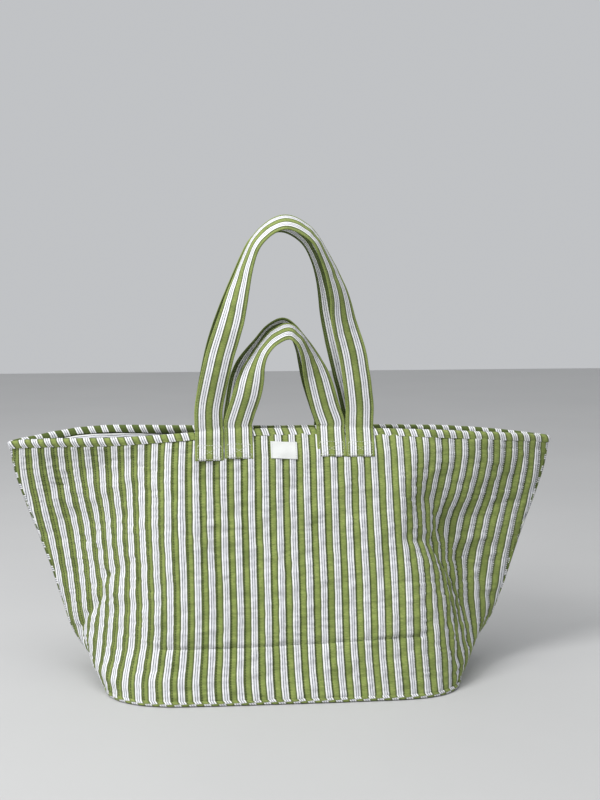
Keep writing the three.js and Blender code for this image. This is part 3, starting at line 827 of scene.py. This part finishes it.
class Strap:
    """One strap's axes along its whole length, from one sewn end over the arch to the other."""

    def __init__(self, side, kind):
        self.back = side == "back"
        self.name = f"{side}_{kind}"
        spacing = SPACINGS[kind]
        feet = [self.foot(hand * spacing) for hand in (-1, 1)]
        depth = STRAP_WIDTH / 2 * math.cos(APEX_TILT) + RIDGE_HALF_GAP
        sign = 1 if self.back else -1
        arch = ARCHES[self.name]
        top = max(rise for _, rise in arch)
        middle = []
        for x, rise in arch:
            leg = feet[0 if x < 0 else 1][-1]
            middle.append((x * MM, lerp(leg[1], sign * depth, rise / top), RIM_HEIGHT + rise * MM))
        line = smooth_line(np.vstack([feet[0], middle, feet[1][::-1]]))
        count = int(run_along(line)[-1] / (2 * MM))
        self.centre = spread_evenly(line, count)
        self.run = run_along(self.centre)
        self.length = self.run[-1]
        along = unit(np.gradient(self.centre, axis=0))
        foot_run = run_along(feet[0])[-1] + 12 * MM
        way = np.clip((self.run - foot_run) / (self.length - 2 * foot_run), 0, 1)
        left_end, right_end = TURN_ENDS.get(self.name, (1.0, 1.0))
        turned = np.where(way < 0.5, left_end, right_end)
        turn = smoothstep(0.08, turned, 1 - np.abs(2 * way - 1))[:, None]
        flat = np.where(way[:, None] < 0.5, self.foot_edge(-spacing), -self.foot_edge(spacing))
        top_edge = np.array([0, sign * math.cos(APEX_TILT), -math.sin(APEX_TILT)])
        edge = lerp(flat, top_edge, turn)
        edge = unit(edge - along * np.sum(edge * along, axis=1, keepdims=True))
        face = np.cross(along, edge)
        outwards = 1 if np.dot(face[0], [0, sign, 0]) >= 0 else -1
        self.edge, self.face = outwards * edge, outwards * face

    def rim_place(self, x):
        place = wall.place_at(x, 1.0)
        return 1 - place if self.back else place

    def foot(self, x):
        """Points up the wall from a sewn end to the rim."""
        height = lerp(FOOT_STAND_OFF, BINDING_STAND_OFF, smoothstep(17 * MM, 7 * MM, FOOT_DROPS))
        return wall.outside(self.rim_place(x), 1 - FOOT_DROPS / PANEL_HEIGHT, height)

    def foot_edge(self, x):
        """The way across a sewn end."""
        place = self.rim_place(x)
        step = -0.004 if self.back else 0.004
        level = 1 - STRAP_OVERLAP / 2 / PANEL_HEIGHT
        return unit(wall.point(place + step, level) - wall.point(place - step, level))

    def at(self, run, w, height):
        """A point at a distance along the strap, w across it and height above its middle plane."""
        centre, edge, face = (along_line(run, self.run, axes) for axes in (self.centre, self.edge, self.face))
        return centre + edge * w[..., None] + face * height[..., None]


STRAP_HALF_PROFILE = np.array([-20, -19.7, -19, -18.1, -17.4, -17, -16.6, -15.6, -13, -9.5, -5, 0]) * MM


def strap_piece(strap, material, seed):
    """The strap as one closed band. Its two faces are wrinkled each in its own way."""
    upper = np.concatenate([STRAP_HALF_PROFILE, -STRAP_HALF_PROFILE[-2::-1]])
    w = np.concatenate([upper, upper[-2:0:-1]])[None, :]
    face = np.concatenate([np.ones(len(upper)), -np.ones(len(upper) - 2)])[None, :]
    run = strap.run[:, None]
    end = np.minimum(run, strap.length - run)
    thickness = strap_half_thickness(w) * lerp(0.35, 1, smoothstep(-1 * MM, 2.5 * MM, end))
    wrinkle = noise(run / (9 * MM), w / (22 * MM) + 9 * (face > 0), seed) * 0.55 * MM
    wave = noise(run / (40 * MM), w / (60 * MM), seed + 1) * 1.6 * MM
    arch = smoothstep(STRAP_OVERLAP, STRAP_OVERLAP + 40 * MM, end)
    cup = -1.6 * MM * (w / (STRAP_WIDTH / 2)) ** 2 * arch
    wobble = 1 + 0.012 * noise(run / (17 * MM), np.sign(w) * 3, seed + 2)
    inner = np.clip(1 - np.abs(w) / (STRAP_WIDTH / 2), 0, 1) ** 0.5
    height = face * (thickness + wrinkle * inner * (0.3 + 0.7 * arch)) + cup + wave * arch
    vertices, faces = tube(strap.at(run, w * wobble, height))
    # the strap's underside gets the darker green of painted shade
    cloth = together(w, run, seed + INNER_SHADE_SEED * (face < 0))
    replaced = (strap.name, f"{strap.name}_left_end", f"{strap.name}_right_end")
    piece = make_piece(f"{strap.name}_cloth", vertices, faces, cloth, material, replaced, body=None)
    y = float(along_line(STRAP_OVERLAP, strap.run, strap.centre)[1])
    start, end = (0, y, RIM_HEIGHT - BLEND_LOW), (0, y, RIM_HEIGHT + BLEND_HIGH)
    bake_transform(piece)


STITCH_BOX_TOP, STITCH_BOX_FOOT = 17.5 * MM, 37.5 * MM  # distances below the rim
STITCH_BOX_HALF_WIDTH = 16.5 * MM
STITCH_BOX = [(-1, 0), (1, 0), (1, 1), (-1, 1)]  # its corners: side, and way down
STITCH_BOX_LINES = [(0, 1), (1, 2), (2, 3), (3, 0), (0, 2), (1, 3)]  # from corner to corner
BOX_THREAD_RADIUS = 0.42 * MM


def box_stitches(strap, material):
    """A stitched box with a cross on each sewn end."""
    for hand in ("left", "right"):
        routes = []
        for first, last in STITCH_BOX_LINES:
            side, down = np.linspace(STITCH_BOX[first], STITCH_BOX[last], 24).T
            w = side * STITCH_BOX_HALF_WIDTH
            run = STRAP_OVERLAP - lerp(STITCH_BOX_TOP, STITCH_BOX_FOOT, down)
            run = run if hand == "left" else strap.length - run
            points = strap.at(run, w, strap_half_thickness(w) + 0.12 * MM)
            above = strap.at(run, w, strap_half_thickness(w) + 2 * MM)
            routes.append((points, unit(above - points)))
        replaced = (f"{strap.name}_{hand}_stitching",)
        stitches(f"{strap.name}_{hand}_stitches", routes, material, replaced, BOX_THREAD_RADIUS)


# ---- label ----
LABEL_SEED = 90
LABEL_HEIGHT = 21.5 * MM
LABEL_MIDDLE_X = -2 * MM
LABEL_DROP = 3 * MM  # of its top below the CAD label's
LABEL_TILT = 0.03
LABEL_LIFT = 3.3 * MM  # clear of the quilting
LABEL_THICKNESS = 0.45 * MM


def label(material, columns=36, rows=24):
    width, height = label_high.x - label_low.x, LABEL_HEIGHT
    x = np.linspace(-0.5, 0.5, columns + 1)[None, :] * width
    y = np.linspace(-1, 0, rows + 1)[:, None] * height
    top = RIM_HEIGHT - label_high.z + LABEL_DROP
    place = wall.place_at(LABEL_MIDDLE_X + x, 0.93)
    level = 1 - (top - y + LABEL_TILT * x) / PANEL_HEIGHT
    corner = np.abs(2 * x / width) ** 6 + np.abs(2 * y / height + 1) ** 6
    lift = LABEL_LIFT + (0.35 * corner + 0.3 * noise(x / (9 * MM), y / (7 * MM), LABEL_SEED)) * MM
    outer, inner = wall.outside(place, level, lift + LABEL_THICKNESS), wall.outside(place, level, lift)
    slab_piece("blank_label", outer, inner, together(x, y, LABEL_SEED), material, ("label",))


# ---- materials ----
class Value:
    """What a node puts out. Arithmetic with it adds math nodes."""

    def __init__(self, recipe, socket):
        self.recipe, self.socket = recipe, socket

    def math(self, operation, *others):
        node = self.recipe.node("ShaderNodeMath", enumerate([self, *others]), operation=operation)
        return Value(self.recipe, node.outputs[0])

    def __add__(self, other):
        return self.math("ADD", other)

    def __sub__(self, other):
        return self.math("SUBTRACT", other)

    def __mul__(self, other):
        return self.math("MULTIPLY", other)

    def __truediv__(self, other):
        return self.math("DIVIDE", other)

    def __lt__(self, other):
        return self.math("LESS_THAN", other)

    def __gt__(self, other):
        return self.math("GREATER_THAN", other)

    def __abs__(self):
        return self.math("ABSOLUTE")

    def wave(self, pitch):
        """0 to 1 and back once in each pitch."""
        return (self * (2 * math.pi / pitch)).math("COSINE") * 0.5 + 0.5


class Recipe:
    """A node material, with a short call for each kind of node it uses."""

    def __init__(self, name, roughness, sheen=0.0):
        self.material = bpy.data.materials.new(f"{name}_look")
        self.material["slot"] = name
        self.material.use_nodes = True
        self.tree = self.material.node_tree
        self.shader = self.tree.nodes["Principled BSDF"].inputs
        self.shader["Roughness"].default_value = roughness
        self.shader["Sheen Weight"].default_value = sheen
        self.shader["Specular IOR Level"].default_value = 0.25

    def feed(self, value, socket):
        if isinstance(value, Value):
            self.tree.links.new(value.socket, socket)
        else:
            socket.default_value = value

    def node(self, kind, inputs=(), **settings):
        node = self.tree.nodes.new(kind)
        for key, value in settings.items():
            setattr(node, key, value)
        for key, value in dict(inputs).items():
            self.feed(value, node.inputs[key])
        return node

    def stretched(self, vector, scale):
        node = self.node("ShaderNodeVectorMath", {0: vector, 1: scale}, operation="MULTIPLY")
        return Value(self, node.outputs[0])

    def noise(self, vector, scale, detail=2.0):
        inputs = {"Vector": self.stretched(vector, scale), "Scale": 1.0, "Detail": detail}
        return Value(self, self.node("ShaderNodeTexNoise", inputs).outputs["Fac"])

    def ramp(self, factor, stops):
        """A grey level for each factor, from stops of (position, grey level)."""
        node = self.node("ShaderNodeValToRGB", {"Fac": factor})
        elements = node.color_ramp.elements
        elements[0].position, elements[-1].position = stops[0][0], stops[-1][0]
        for position, _ in stops[1:-1]:
            elements.new(position)
        for element, (_, grey) in zip(elements, stops):
            element.color = (grey, grey, grey, 1)
        return Value(self, node.outputs["Color"])

    def mix(self, factor, a, b, blend="MIX"):
        node = self.node("ShaderNodeMix", data_type="RGBA", blend_type=blend)
        self.feed(factor, node.inputs["Factor"])
        sockets = [socket for socket in node.inputs if socket.type == "RGBA"]
        for value, socket in zip((a, b), sockets):
            self.feed((*value, 1) if isinstance(value, tuple) else value, socket)
        return Value(self, [socket for socket in node.outputs if socket.type == "RGBA"][0])

    def bump(self, height, distance, strength=1.0):
        node = self.node("ShaderNodeBump", {"Height": height, "Distance": distance, "Strength": strength})
        self.feed(Value(self, node.outputs[0]), self.shader["Normal"])

    def cloth_place(self):
        """Millimetres across and along the cloth, its seed, and a vector of the three for noise."""
        attribute = self.node("ShaderNodeAttribute", attribute_name="cloth").outputs["Vector"]
        place = self.stretched(Value(self, attribute), (1 / MM, 1 / MM, 1))
        parts = self.node("ShaderNodeSeparateXYZ", {0: place}).outputs
        return *(Value(self, part) for part in parts), place


GREEN = (0.213, 0.28, 0.07)
GRASS = (0.31, 0.36, 0.11)
OLIVE = (0.115, 0.155, 0.036)
# painted shade: dark olive laid on band edges, fine creases and the quilting's stitch grooves
PAINTED_SHADE_GREEN = (0.070, 0.092, 0.030)
# painted shade: darker green for inner faces, the lining and strap undersides
SHADED_INNER_GREEN = (0.062, 0.092, 0.018)
WHITE = (0.92, 0.92, 0.90)
COOL_WHITE = (0.75, 0.76, 0.79)
DARK_LINE = (0.085, 0.09, 0.11)
STITCH_GREEN = (0.030, 0.050, 0.014)
EDGE_THREAD = (0.36, 0.42, 0.20)
THREAD_DARK, THREAD_PALE, THREAD_FUZZ = (0.50, 0.54, 0.40), (0.74, 0.77, 0.62), (0.45, 0.5, 0.36)
LABEL_RIB, LABEL_WHITE, LABEL_THREAD = (0.66, 0.68, 0.66), (0.78, 0.79, 0.77), (0.35, 0.38, 0.36)
FLOOR_GREY, FLOOR_PALE = (0.50, 0.50, 0.50), (0.54, 0.54, 0.535)


def stitch_row(off_line, y, half_width, pitch, share):
    """1 on the stitches of a row, which cover this share of each pitch."""
    return (off_line < half_width) * ((y / pitch).math("FRACT") < share)


def pocket_line(x, y, seed):
    """1 on the pocket's seam, which shows only on the front panel."""
    up = y - x * POCKET_TILT
    off_side = abs(x) - POCKET_HALF_WIDTH / MM
    off_foot = up - POCKET_FOOT / MM
    sides = (abs(off_side) < 0.6) * (off_foot > 0) * (up < POCKET_HEAD / MM)
    across = (abs(off_foot) < 0.8) * (off_side < 0.6)
    return sides.math("MAXIMUM", across) * (seed < PANEL_SEEDS["front"] + 1)


def stripes(recipe, x, seed, place, slub):
    """Colour and height of green cotton with groups of white cords, which two thin broken dark
    lines divide."""
    mix, ramp, noise = recipe.mix, recipe.ramp, recipe.noise
    sway = noise(place, (0.03, 0.012, 1)) * 1.6 - 0.8
    fray = noise(place, (0.9, 0.35, 1)) * 0.5 - 0.25
    turn = ((x + sway + fray) / (PITCH / MM)).math("FRACT")
    off_cords = abs(turn - 0.5) * 2
    green = mix(ramp(slub, [(0.42, 0), (0.62, 1)]), GREEN, GRASS)
    patch = noise(place, (0.025, 0.03, 1), detail=3)
    green = mix(ramp(patch, [(0.42, 0), (0.72, 0.6)]), green, OLIVE)
    # painted shade: the green darkens at the band's edges, in the grooves beside the cords
    green = mix(ramp(off_cords, [(0.52, 1), (0.74, 0)]), green, PAINTED_SHADE_GREEN)
    # painted shade in fine creases of the cloth
    crease_shade = ramp(noise(place, (0.14, 0.75, 1)), [(0.3, 1), (0.42, 0)])
    green = mix(crease_shade * 0.5, green, PAINTED_SHADE_GREEN)
    # painted shade: inner faces and the lining are given a darker green
    green = mix((seed > INNER_SHADE_SEED / 2) * 0.8, green, SHADED_INNER_GREEN)
    white = mix(ramp(off_cords, [(0.22, 1), (0.36, 0)]), WHITE, COOL_WHITE)
    worn = ramp(noise(place, (0.6, 0.10, 1), detail=3), [(0.45, 0), (0.8, 0.6)])
    white = mix(worn * 0.6, white, COOL_WHITE)
    broken = ramp(noise(place, (0.3, 0.3, 1)), [(0.36, 0.75), (0.5, 1)])
    line = ramp(off_cords, [(0.11, 0), (0.13, 1), (0.2, 1), (0.22, 0)])
    white = mix(line * broken, white, DARK_LINE)
    cords = ramp(off_cords, [(0.0, 0.6), (0.13, 0), (0.3, 1), (0.48, 0), (0.6, 0.6)])
    return mix(ramp(off_cords, [(0.435, 1), (0.46, 0)]), green, white), cords * 0.4


def striped_cloth(name, quilted=False, topstitched=False):
    recipe = Recipe(name, 0.9, sheen=0.1)
    x, y, seed, place = recipe.cloth_place()
    slub = recipe.noise(place, (0.16, 0.95, 1), detail=3)
    threads = recipe.mix(0.5, x.wave(0.9), y.wave(0.9))
    colour, cords = stripes(recipe, x, seed, place, slub)
    height = threads * 0.25 + cords + slub * 1.2
    if quilted:
        pitch = QUILT_PITCH / MM
        off_line = abs((x / pitch + (QUILT_PHASE + 0.5)).math("FRACT") - 0.5) * pitch
        # painted shade along the quilting's sunken stitch lines
        groove = recipe.ramp(off_line / 4, [(0.0, 0.6), (0.6, 0)])
        colour = recipe.mix(groove * 0.55, colour, PAINTED_SHADE_GREEN, "MULTIPLY")
        # the pocket seam's dark line: partly its stitches, partly painted shade of the crease it draws in
        seam = pocket_line(x, y, seed) * recipe.ramp(slub, [(0.4, 0.6), (0.6, 0)])
        stitch = stitch_row(off_line, y, 0.7, 3.6, 0.6).math("MAXIMUM", seam)
        colour = recipe.mix(stitch * 0.85, colour, STITCH_GREEN)
        height = height - stitch * 0.6
    if topstitched:
        stitch = stitch_row(abs(abs(x) - TOPSTITCH / MM), y, 0.32, 3.4, 0.7)
        colour = recipe.mix(stitch * 0.7, colour, EDGE_THREAD)
        height = height + stitch * 0.5
    recipe.feed(colour, recipe.shader["Base Color"])
    recipe.feed(slub * 0.2 + 0.78, recipe.shader["Roughness"])
    recipe.bump(height, 0.4 * MM, 0.9)
    return recipe.material


def thread_material():
    recipe = Recipe("thread", 0.7, sheen=0.2)
    x, y, _, place = recipe.cloth_place()
    twist = (x + y * 1.5).wave(0.9)
    fuzz = recipe.noise(place, (2, 2, 1))
    colour = recipe.mix(fuzz * 0.3, recipe.mix(twist, THREAD_DARK, THREAD_PALE), THREAD_FUZZ)
    recipe.feed(colour, recipe.shader["Base Color"])
    recipe.bump(twist, 0.1 * MM)
    return recipe.material


def label_material():
    recipe = Recipe("label_cloth", 0.55, sheen=0.1)
    x, y, _, place = recipe.cloth_place()
    weave = recipe.mix(0.5, x.wave(0.5), y.wave(0.7))
    ribs = recipe.noise(place, (0.3, 2.5, 1), detail=3)
    stitch = stitch_row(abs(abs(x) - 16.6), y, 0.3, 2.6, 0.65)
    colour = recipe.mix(stitch * 0.6, recipe.mix(ribs, LABEL_RIB, LABEL_WHITE), LABEL_THREAD)
    recipe.feed(colour, recipe.shader["Base Color"])
    recipe.bump(weave * 0.3 - stitch, 0.2 * MM)
    return recipe.material


def floor_material():
    recipe = Recipe("pale_floor", 0.6)
    place = Value(recipe, recipe.node("ShaderNodeTexCoord").outputs["Object"])
    mottle = recipe.noise(place, (3, 3, 3), detail=4)
    recipe.feed(recipe.mix(mottle, FLOOR_GREY, FLOOR_PALE), recipe.shader["Base Color"])
    return recipe.material


# ---- camera, floor and light ----
FLOOR_REACH = 4.0
KEY_POWER, TOP_POWER, SKY_STRENGTH = 88, 22, 0.56


def set_camera():
    camera = show(bpy.data.objects.new("camera", bpy.data.cameras.new("camera")))
    camera.data.lens = 54
    camera.data.sensor_width = 36
    camera.location = (-0.124, -1.688, 0.6216)
    camera.rotation_euler = (math.radians(82.4), 0, math.radians(-5))
    bpy.context.scene.camera = camera


def set_floor():
    mesh = bpy.data.meshes.new("floor")
    corners = [(-1, -1), (1, -1), (1, 1), (-1, 1)]
    points = [(x * FLOOR_REACH, y * FLOOR_REACH, 0) for x, y in corners]
    mesh.from_pydata(points, [], [(0, 1, 2, 3)])
    mesh.materials.append(floor_material())
    show(bpy.data.objects.new("floor", mesh))


def add_light(name, place, target, size, power):
    data = bpy.data.lights.new(name, "AREA")
    data.shape = "DISK"
    data.size = size
    data.energy = power
    light = show(bpy.data.objects.new(name, data))
    light.location = place
    light.rotation_euler = (Vector(target) - Vector(place)).to_track_quat("-Z", "Y").to_euler()


def set_lights():
    world = bpy.data.worlds.new("world")
    bpy.context.scene.world = world
    world.use_nodes = True
    sky = world.node_tree.nodes["Background"].inputs
    sky["Color"].default_value = (0.95, 0.97, 1, 1)
    sky["Strength"].default_value = SKY_STRENGTH
    add_light("key", (-2.0, -1.5, 2.7), (0, 0, 0.25), 1.4, KEY_POWER)
    add_light("top", (-0.2, -0.5, 2.8), (0, 0, 0.2), 1.8, TOP_POWER)
    bpy.context.scene.view_settings.view_transform = "Standard"


# ---- the whole bag ----
shell = start_shape()
shell = settle(shell)
wall = Wall(press_folds(shell))

quilt_material = striped_cloth("striped_quilt", quilted=True)
lining_material = striped_cloth("striped_lining")
binding_material = striped_cloth("striped_binding")
strap_material = striped_cloth("striped_strap", topstitched=True)
stitch_material = thread_material()

for side in FIRST_PLACE:
    outer_panel(side, quilt_material)
rim_binding(binding_material)
base_panel(quilt_material)
base_lining(lining_material)
base_binding(binding_material)
for hand, tip in (("left", 0.0), ("right", 0.5)):
    seam_tape(hand, tip, binding_material)
slip_pocket(lining_material)
pocket_binding(binding_material)
pocket_stitching(stitch_material)
for side in FIRST_PLACE:
    lining(side, lining_material)
strap_seed = 100
for side in FIRST_PLACE:
    for kind in SPACINGS:
        strap = Strap(side, kind)
        strap_piece(strap, strap_material, strap_seed)
        box_stitches(strap, stitch_material)
        strap_seed += 10
label(label_material())

set_camera()
set_floor()
set_lights()
